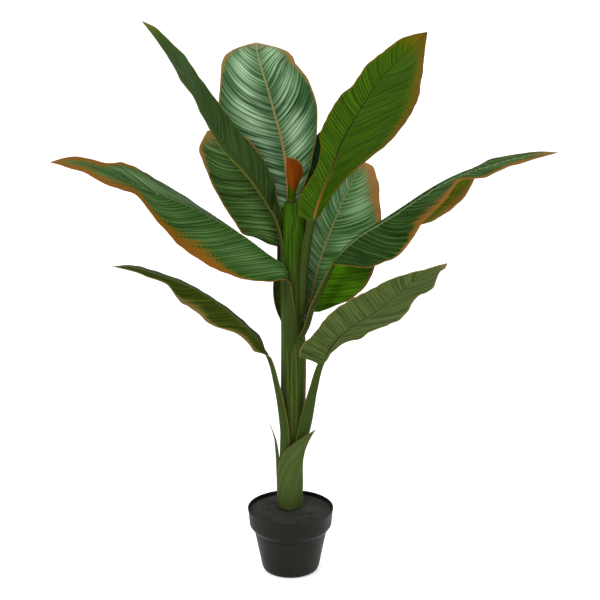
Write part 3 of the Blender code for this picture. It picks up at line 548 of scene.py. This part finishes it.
class Recipe:
    """The nodes of one material, with a short call for each kind that is used here."""

    def __init__(self, name, roughness=0.5):
        self.material = bpy.data.materials.new(name)
        self.material.use_nodes = True
        self.tree = self.material.node_tree
        self.shader = self.tree.nodes["Principled BSDF"]
        self.shader.inputs["Roughness"].default_value = roughness
        self.shader.inputs["Specular IOR Level"].default_value = GLOSS
        self.where = self.tree.nodes.new("ShaderNodeTexCoord")

    def put(self, socket, value):
        """Links a socket, or sets its number or colour."""
        if isinstance(value, bpy.types.NodeSocket):
            self.tree.links.new(value, socket)
        elif isinstance(value, str):
            socket.default_value = colour(value)
        else:
            socket.default_value = value

    def math(self, operation, a, b=0.0, clamp=False):
        """One sum on one or two numbers or sockets."""
        node = self.tree.nodes.new("ShaderNodeMath")
        node.operation = operation
        node.use_clamp = clamp
        for socket, value in zip(node.inputs, (a, b)):
            self.put(socket, value)
        return node.outputs[0]

    def point(self, name):
        """A point value of the mesh, by its name."""
        node = self.tree.nodes.new("ShaderNodeAttribute")
        node.attribute_name = name
        return node.outputs["Fac"]

    def from_middle(self, value):
        """How far the fraction of a value is from one half."""
        return self.math("ABSOLUTE", self.math("SUBTRACT", self.math("FRACT", value), 0.5))

    def part(self, vector, axis):
        """One axis of a vector."""
        node = self.tree.nodes.new("ShaderNodeSeparateXYZ")
        self.put(node.inputs[0], vector)
        return node.outputs[axis]

    def scaled(self, vector, scale):
        """A vector with each axis scaled."""
        node = self.tree.nodes.new("ShaderNodeMapping")
        self.put(node.inputs["Vector"], vector)
        node.inputs["Scale"].default_value = scale
        return node.outputs[0]

    def noise(self, vector, scale, detail=2.0, rough=0.5):
        """Smooth noise of 0 to 1 at a vector."""
        node = self.tree.nodes.new("ShaderNodeTexNoise")
        self.put(node.inputs["Vector"], vector)
        node.inputs["Scale"].default_value = scale
        node.inputs["Detail"].default_value = detail
        node.inputs["Roughness"].default_value = rough
        return node.outputs["Fac"]

    def span(self, value, low, high, to_low=0.0, to_high=1.0):
        """A value carried smoothly from the span low to high onto the span to_low to to_high."""
        node = self.tree.nodes.new("ShaderNodeMapRange")
        node.interpolation_type = "SMOOTHSTEP"
        self.put(node.inputs["Value"], value)
        for key, number in zip(("From Min", "From Max", "To Min", "To Max"), (low, high, to_low, to_high)):
            node.inputs[key].default_value = number
        return node.outputs[0]

    def mix(self, factor, a, b):
        """Colour a where the factor is 0 and colour b where it is 1."""
        node = self.tree.nodes.new("ShaderNodeMix")
        node.data_type = "RGBA"
        self.put(node.inputs["Factor"], factor)
        self.put([s for s in node.inputs if s.name == "A" and s.type == "RGBA"][0], a)
        self.put([s for s in node.inputs if s.name == "B" and s.type == "RGBA"][0], b)
        return [s for s in node.outputs if s.type == "RGBA"][0]

    def ramp(self, factor, stops):
        """A colour read from stops of (place, tone)."""
        node = self.tree.nodes.new("ShaderNodeValToRGB")
        self.put(node.inputs[0], factor)
        band = node.color_ramp
        while len(band.elements) < len(stops):
            band.elements.new(1.0)
        for element, (position, tone) in zip(band.elements, stops):
            element.position = position
            element.color = colour(tone)
        return node.outputs["Color"]

    def bump(self, height, distance, strength=1.0):
        """A normal that follows a height of up to a distance in metres."""
        node = self.tree.nodes.new("ShaderNodeBump")
        node.inputs["Distance"].default_value = distance
        node.inputs["Strength"].default_value = strength
        self.put(node.inputs["Height"], height)
        return node.outputs[0]

    def finish(self, base, rough=None, normal=None):
        """Sets the shader's colour, roughness and normal, and gives the material."""
        self.put(self.shader.inputs["Base Color"], base)
        if rough is not None:
            self.put(self.shader.inputs["Roughness"], rough)
        if normal is not None:
            self.put(self.shader.inputs["Normal"], normal)
        return self.material


def colour(tone):
    """A tone such as #2f6b46 as the linear red, green and blue that a surface returns, and alpha."""
    part = np.array([int(tone[k:k + 2], 16) for k in (1, 3, 5)]) / 255
    linear = np.where(part <= 0.04045, part / 12.92, ((part + 0.055) / 1.055)**2.4)
    return (*(ALBEDO * linear).tolist(), 1.0)


def leaf_material(leaf):
    """A leaf's finish: streaks, bands and veins that follow the vein number, a painted sheen highlight, a
    margin and a rib.
    """
    rough = TONES[leaf.upper][3]
    m = Recipe(leaf.name + "_finish", rough)
    m.shader.inputs["Specular IOR Level"].default_value = LEAF_GLOSS
    uv = m.where.outputs["UV"]
    vein = m.point("vein")
    streak = m.noise(m.scaled(uv, (26, 1.4, 1)), 1.0, 4.0, 0.65)
    fine = m.noise(m.scaled(uv, (70, 3, 1)), 1.0, 2.0, 0.6)
    broad = m.noise(m.scaled(uv, (9, 0.7, 1)), 1.0, 2.0, 0.5)
    patch = m.noise(m.where.outputs["Object"], 9.0, 2.0)

    # Distance from the nearest furrow, crest, hair line and bold vein, as shares of their spacing
    furrow = m.from_middle(m.math("ADD", vein, 0.5))
    crest = m.from_middle(vein)
    hair = m.from_middle(m.math("MULTIPLY", vein, 3.0))
    seldom = m.from_middle(m.math("MULTIPLY", vein, 0.21))
    on_furrow = m.span(furrow, 0.03, 0.20, 1.0, 0.0)
    on_crest = m.span(crest, 0.03, 0.17, 1.0, 0.0)
    on_hair = m.span(hair, 0.05, 0.30, 0.5, 0.0)
    on_bold = m.span(seldom, 0.015, 0.05, leaf.bold, 0.0)
    # Light crests and hair lines are the veins' own colour and painted highlights; the dark furrows are their
    # own colour and painted shade in the grooves
    lines = m.math("MAXIMUM", on_crest, on_hair)
    lines = m.math("MULTIPLY", lines, m.span(fine, 0.32, 0.66, 0.15 * leaf.vein_light, leaf.vein_light))
    furrow_tone_and_shade = m.math("MULTIPLY", on_furrow, m.span(broad, 0.38, 0.62, leaf.vein_dark, 0.4 * leaf.vein_dark))

    def face(name):
        """Streaks of dark and middle, light crests and hair lines, broad dark bands, furrows and bold veins."""
        dark, middle, light, _ = TONES[name]
        tone = m.mix(m.span(streak, 0.34, 0.64), dark, middle)
        tone = m.mix(m.span(patch, 0.35, 0.7, 0.0, 0.35), tone, middle)
        tone = m.mix(lines, tone, light)
        tone = m.mix(m.span(broad, 0.36, 0.54, leaf.band, 0.0), tone, dark)
        tone = m.mix(furrow_tone_and_shade, tone, dark)
        return m.mix(on_bold, tone, dark)

    front = face(leaf.upper)
    # Painted highlight: the light tone laid over the middle of each half, broken at the furrows
    lit = m.math("ADD", m.math("MULTIPLY", streak, 0.35), m.math("MULTIPLY", broad, 0.4))
    lit = m.math("ADD", lit, m.math("MULTIPLY", patch, 0.25))
    painted_sheen_mask = m.math("MULTIPLY", m.point("painted_sheen"), m.span(lit, 0.38, 0.60))
    painted_sheen_mask = m.math("MULTIPLY", painted_sheen_mask, m.span(furrow, 0.0, 0.22, 0.15, 1.0), clamp=True)
    front = m.mix(m.math("MULTIPLY", painted_sheen_mask, 0.9), front, TONES[leaf.upper][2])
    body = m.mix(m.point("under"), front, face(leaf.under) if leaf.under != leaf.upper else front)
    # Painted light in a brighter green on a shaded right side, and the own green base of a young leaf
    if leaf.fresh_green_and_painted_light or leaf.green_base:
        body = m.mix(m.point("fresh_green_and_painted_light"), body, face("painted_lit_green" if leaf.fresh_green_and_painted_light else "bright"))

    # Coloured margin, feathered along the veins
    uneven = m.math("ADD", m.math("MULTIPLY", streak, 0.3), m.math("MULTIPLY", broad, 0.7))
    uneven = m.math("SUBTRACT", uneven, 0.5)
    reach = m.math("ADD", m.point("aged"), m.math("MULTIPLY", uneven, 0.55))
    reach = m.math("MULTIPLY", reach, m.span(m.point("aged"), 0.0, 0.4))
    inner, middle, outer = FRINGES[leaf.fringe]
    age = m.ramp(reach, ((0.15, inner), (0.5, middle), (0.85, outer)))
    age = m.mix(m.math("MULTIPLY", furrow_tone_and_shade, 0.45), age, inner)
    body = m.mix(m.span(reach, 0.0, 0.8, 0.0, 0.95), body, age)
    body = m.mix(m.math("MULTIPLY", m.span(reach, 0.0, 0.5, 0.0, 0.3), lines), body, outer)
    rim = m.span(m.point("inward"), 0.3, 1.3, 1.0, 0.0)
    rim = m.math("MULTIPLY", rim, m.span(m.point("aged"), 0.0, 0.8, 0.3, 0.8))
    body = m.mix(m.math("MULTIPLY", rim, m.point("blade")), body, outer)

    line = m.ramp(m.point("share"), tuple(zip(RIB_SHARES, leaf.ribs)))
    body = m.mix(m.span(m.point("near_rib"), 0.35, 0.75), body, line)
    stalk = m.mix(m.span(fine, 0.3, 0.7), "#36481a", "#4a5c24")
    stalk = m.mix(m.span(m.point("inward"), 0.3, 2.0, 0.8, 0.0), stalk, "#84703a")
    body = m.mix(m.point("blade"), stalk, body)

    relief = m.math("SUBTRACT", m.math("MULTIPLY", fine, 0.5), on_furrow)
    return m.finish(body, m.span(streak, 0.2, 0.8, rough - 0.05, rough + 0.1), m.bump(relief, 0.0004, 0.6))


def lathe_piece(name, profile, sides, material):
    """A closed solid turned about Z: each (radius, height) becomes a ring, and the two ends are poles."""
    ring = np.asarray(profile, float)
    turn = np.linspace(0, 2 * np.pi, sides, endpoint=False)
    body = ring[1:-1]
    grid = np.stack([body[:, :1] * np.cos(turn), body[:, :1] * np.sin(turn), body[:, 1:] + 0 * turn], -1)
    vertices = np.concatenate([grid.reshape(-1, 3), [[0, 0, ring[0, 1]], [0, 0, ring[-1, 1]]]]) * MM
    return mesh_piece(name, vertices, turned_faces(len(body), sides), material)


def rounded(corners, radius, steps=5):
    """A profile whose inner corners are rounded by quadratic arcs that start radius away from each corner."""
    points = np.asarray(corners, float)
    out = [points[:1]]
    f = np.linspace(0, 1, steps)[:, None]
    for before, here, after in zip(points[:-2], points[1:-1], points[2:]):
        one = here + (before - here) * min(1, radius / np.linalg.norm(before - here)) * 0.49
        two = here + (after - here) * min(1, radius / np.linalg.norm(after - here)) * 0.49
        out.append((1 - f)**2 * one + 2 * f * (1 - f) * here + f**2 * two)
    out.append(points[-1:])
    return np.concatenate(out)


def make_pot():
    """The pot: floor, inside wall, rim, band, neck, tapering body and rounded foot, turned about Z."""
    m = Recipe("satin_black_plastic", 0.46)
    spot = m.where.outputs["Object"]
    cloud = m.noise(spot, 22, 3)
    grain = m.noise(spot, 900, 2)
    dust = m.noise(m.scaled(spot, (1, 1, 0.25)), 130, 4, 0.7)
    base = m.mix(m.span(cloud, 0.3, 0.7), "#22231e", "#272822")
    base = m.mix(m.span(dust, 0.58, 0.78, 0.0, 0.2), base, "#4c4d46")
    # Painted shade: the neck, which faces down and out, is darkened against the light that the floor throws on
    # it
    height = m.part(spot, "Z")
    neck = m.math("MULTIPLY", m.span(height, 0.078, 0.086), m.span(height, 0.093, 0.099, 0.75, 0.0))
    base = m.mix(neck, base, "#0c0d0b")
    rough = m.span(cloud, 0.3, 0.7, 0.42, 0.54)
    material = m.finish(base, rough, m.bump(grain, 0.0001, 0.5))
    pot = lathe_piece("pot_shell", rounded(POT_PROFILE, POT_ROUNDING), 160, material)
    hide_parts("pot")
    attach(pot, "root")
    return pot


def make_grit():
    """The fill: a turned plug whose upper side is a mound with small swells, and loose grains on it."""
    m = Recipe("dark_grit", 0.92)
    spot = m.where.outputs["Object"]
    grain = m.noise(spot, 520, 3, 0.7)
    clump = m.noise(spot, 60, 3)
    base = m.mix(m.span(grain, 0.36, 0.66), "#262724", "#5c5e57")
    base = m.mix(m.span(clump, 0.35, 0.65, 0.0, 0.6), base, "#3c3d39")
    material = m.finish(base, None, m.bump(grain, 0.0012, 1.0))
    rng = np.random.default_rng(7)
    sides, rows = 150, 44
    outline = np.array(GRIT_PROFILE)
    radius = np.linspace(0.6, 80.8, rows)
    turn = np.linspace(0, 2 * np.pi, sides, endpoint=False)
    mound = np.interp(radius, outline[:4, 0], outline[:4, 1])[:, None]
    x = radius[:, None] * np.cos(turn)
    y = radius[:, None] * np.sin(turn)
    swell = np.zeros_like(x)
    for size in (0.09, 0.16, 0.31, 0.55):
        for k in rng.uniform(0, 2 * np.pi, 3):
            swell = swell + 0.055 / size * np.sin(size * (x * np.cos(k) + y * np.sin(k)) + 9 * k)
    swell = swell + rng.uniform(-0.35, 0.25, swell.shape)
    top = mound - 0.5 + 0.6 * swell * soft_step(0, 6, 81 - radius)[:, None]
    top = np.minimum(top, mound + 0.5)
    under = outline[3:-1]
    ring = np.stack([under[:, :1] * np.cos(turn), under[:, :1] * np.sin(turn), under[:, 1:] + 0 * turn], -1)
    grid = np.concatenate([np.stack([x, y, top], -1), ring])
    vertices = np.concatenate([grid.reshape(-1, 3), [[0, 0, 128.2], [0, 0, 3.3]]]) * MM
    fill = mesh_piece("grit_fill", vertices, turned_faces(len(grid), sides), material)
    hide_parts("grit")
    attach(fill, "root")

    # Loose grains: a jittered eight-sided bead each, partly sunk
    place = 80.0 * np.sqrt(rng.uniform(0.09, 1, GRAINS))
    angle = rng.uniform(0, 2 * np.pi, GRAINS)
    size = rng.uniform(0.5, 1.5, GRAINS) * 0.9
    height = np.interp(place, outline[:4, 0], outline[:4, 1]) - 0.35 + 0.25 * rng.uniform(-1, 1, GRAINS)
    corner = np.array([(1, 0, 0), (0, 1, 0), (-1, 0, 0), (0, -1, 0), (0, 0, 1), (0, 0, -1)], float)
    shape = corner[None] * size[:, None, None] * rng.uniform(0.7, 1.25, (GRAINS, 6, 1))
    spin = rng.uniform(0, 2 * np.pi, GRAINS)
    turned = np.stack([shape[..., 0] * np.cos(spin)[:, None] - shape[..., 1] * np.sin(spin)[:, None],
                       shape[..., 0] * np.sin(spin)[:, None] + shape[..., 1] * np.cos(spin)[:, None],
                       shape[..., 2] * 0.7], -1)
    centre = np.stack([place * np.cos(angle), place * np.sin(angle), height], -1)
    beads = (turned + centre[:, None]).reshape(-1, 3) * MM
    octahedron = np.array([
        (0, 1, 4), (1, 2, 4), (2, 3, 4), (3, 0, 4), (1, 0, 5), (2, 1, 5), (3, 2, 5), (0, 3, 5)])
    triangles = (octahedron[None] + 6 * np.arange(GRAINS)[:, None, None]).reshape(-1, 3)
    grains = mesh_piece("grit_grains", beads, triangles, material)
    grains.data.shade_flat()
    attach(grains, "root")


def make_stem(rows=240, sides=216):
    """The stem: rings about a curve whose radius has sheaths that bulge and end in a step, and fine ribs."""
    line, _, _ = smooth_line(STEM_LINE)
    share = np.linspace(0, 1, rows)
    steps = np.linspace(0, 1, len(line))
    centre = np.stack([np.interp(share, steps, line[:, k]) for k in range(3)], -1)
    turn = np.linspace(0, 1, sides, endpoint=False)[None, :]
    level = share[:, None]
    number = SHEATHS * turn + SHEATH_TWIST * SHEATHS * level
    phase = np.mod(number, 1)
    sheath = 0.9 * (phase - 0.5) * soft_step(0, 0.06, 1 - phase)
    ribs = 0.16 * np.cos(2 * np.pi * RIBS_EACH * number)
    radius = along(STEM_RADII, share)[:, None] + sheath + ribs - 0.1
    angle = 2 * np.pi * turn
    grid = np.stack([centre[:, :1] + radius * np.cos(angle), centre[:, 1:2] + radius * np.sin(angle),
                     centre[:, 2:] + 0 * radius], -1)
    vertices = np.concatenate([grid.reshape(-1, 3), [grid[0].mean(0)], [grid[-1].mean(0) + (0, 0, 3)]]) * MM
    ends = np.zeros(2)
    m = Recipe("wrapped_sheaths", 0.55)
    m.shader.inputs["Specular IOR Level"].default_value = LEAF_GLOSS
    phase_point = m.point("phase")
    spot = m.where.outputs["Object"]
    streak = m.noise(m.scaled(spot, (260, 260, 5)), 1.0, 3, 0.6)
    cloud = m.noise(m.scaled(spot, (12, 12, 4)), 1.0, 2)
    base = m.mix(m.span(streak, 0.34, 0.66), "#30440e", "#5a6e2c")
    base = m.mix(m.span(cloud, 0.35, 0.7, 0.0, 0.35), base, "#445a1c")
    # Painted shade: a dark band at the foot of each sheath's step, under the overlapping edge; the tan edge is
    # the sheath's own colour
    base = m.mix(m.span(phase_point, 0.0, 0.14, 0.75, 0.0), base, "#24320e")
    base = m.mix(m.span(phase_point, 0.90, 0.97, 0.0, 0.7), base, "#746834")
    fresh_green_and_painted_light = m.span(m.point("level"), 0.74, 0.92, 0.0, 0.85)
    base = m.mix(fresh_green_and_painted_light, base, m.mix(m.span(streak, 0.35, 0.65), "#2a5004", "#4a7a0c"))
    base = m.mix(m.point("seam"), base, "#8a6028")
    material = m.finish(base, m.span(streak, 0.2, 0.8, 0.48, 0.62), m.bump(streak, 0.0005, 0.6))
    seam = np.exp(-((turn - 0.935) / 0.007)**2)
    seam = seam * soft_step(0.18, 0.3, level) * soft_step(0.3, 0.42, 0.98 - level)
    values = {"phase": np.concatenate([(phase + 0 * level).ravel(), ends]),
              "seam": np.concatenate([seam.ravel(), ends]),
              "level": np.concatenate([(level + 0 * turn).ravel(), ends])}
    stem = mesh_piece("stem_sheaths", vertices, turned_faces(rows, sides, reverse=True), material, values)
    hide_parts("stem")
    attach(stem, "root")
    return stem


def make_stage():
    """A wide pale floor, with a back that rises in a curve so that no line shows behind the plant."""
    width, front, back, rise, radius = 16.0, -16.0, 4.0, 5.0, 1.6
    turn = np.linspace(0, np.pi / 2, 24)
    bend = back - radius + radius * np.sin(turn)[1:]
    y = np.concatenate([[front], np.linspace(front + 1, back - radius, 6), bend, [back]])
    z = np.concatenate([[0], np.zeros(6), radius * (1 - np.cos(turn))[1:], [rise]])
    left = np.stack([np.full_like(y, -width), y, z], 1)
    right = left * (-1, 1, 1)
    count = len(y)
    vertices = np.concatenate([left, right])
    i = np.arange(count - 1)
    faces = np.stack([i, i + count, i + count + 1, i + 1], 1)
    m = Recipe("pale_paper", 0.9)
    soft = m.noise(m.where.outputs["Object"], 0.6, 1)
    m.shader.inputs["Emission Color"].default_value = (1, 1, 1, 1)
    m.shader.inputs["Emission Strength"].default_value = 0.45
    tone = m.mix(m.span(soft, 0.3, 0.7), (0.90, 0.90, 0.89, 1.0), (0.94, 0.94, 0.93, 1.0))
    floor = mesh_piece("studio_floor", vertices, faces, m.finish(tone))


def add_light(name, place, target, size, power, tint=(1, 1, 1)):
    """A square area light that looks from its place to a target."""
    lamp = bpy.data.lights.new(name, "AREA")
    lamp.shape = "SQUARE"
    lamp.size = size
    lamp.energy = power
    lamp.color = tint
    item = bpy.data.objects.new(name, lamp)
    bpy.context.scene.collection.objects.link(item)
    item.location = place
    aim(item, target)


def aim(item, target):
    """Turns a lamp or camera, whose view is along -Z, towards a target and keeps its top up."""
    back = unit(np.array(item.location) - np.array(target))
    side = unit(np.cross((0, 0, 1), back))
    top = np.cross(back, side)
    item.rotation_euler = Matrix(np.stack([side, top, back], 1).tolist()).to_euler()


def make_camera():
    """A camera at the fitted place: 2.80 m in front, 1.383 m high, looking down by 16.4 degrees."""
    data = bpy.data.cameras.new("camera")
    data.sensor_width = SENSOR_WIDTH
    data.lens = FOCAL_PIXELS / IMAGE_PIXELS * SENSOR_WIDTH
    data.clip_end = 50
    camera = bpy.data.objects.new("camera", data)
    bpy.context.scene.collection.objects.link(camera)
    camera.location = CAMERA_PLACE
    camera.rotation_euler = (np.radians(90 - CAMERA_PITCH), 0, 0)
    bpy.context.scene.camera = camera


def make_world():
    """An even white light from all sides."""
    world = bpy.data.worlds.new("studio")
    world.use_nodes = True
    world.node_tree.nodes["Background"].inputs["Color"].default_value = (1, 1, 1, 1)
    world.node_tree.nodes["Background"].inputs["Strength"].default_value = 0.5
    bpy.context.scene.world = world


bpy.context.scene.view_settings.view_transform = "Standard"
make_camera()
make_world()
add_light("key", (-1.6, -2.2, 2.6), (0, 0, 0.6), 1.6, 60)
add_light("fill", (2.2, -2.0, 1.6), (0, 0, 0.6), 1.8, 25)
add_light("top", (0.2, 0.6, 3.0), (0, 0, 0.6), 1.4, 35)
make_stage()
make_pot()
make_grit()
make_stem()
for leaf in LEAVES + (SPEAR, BRACT_FRONT, BRACT_SIDE):
    leaf_piece(leaf)
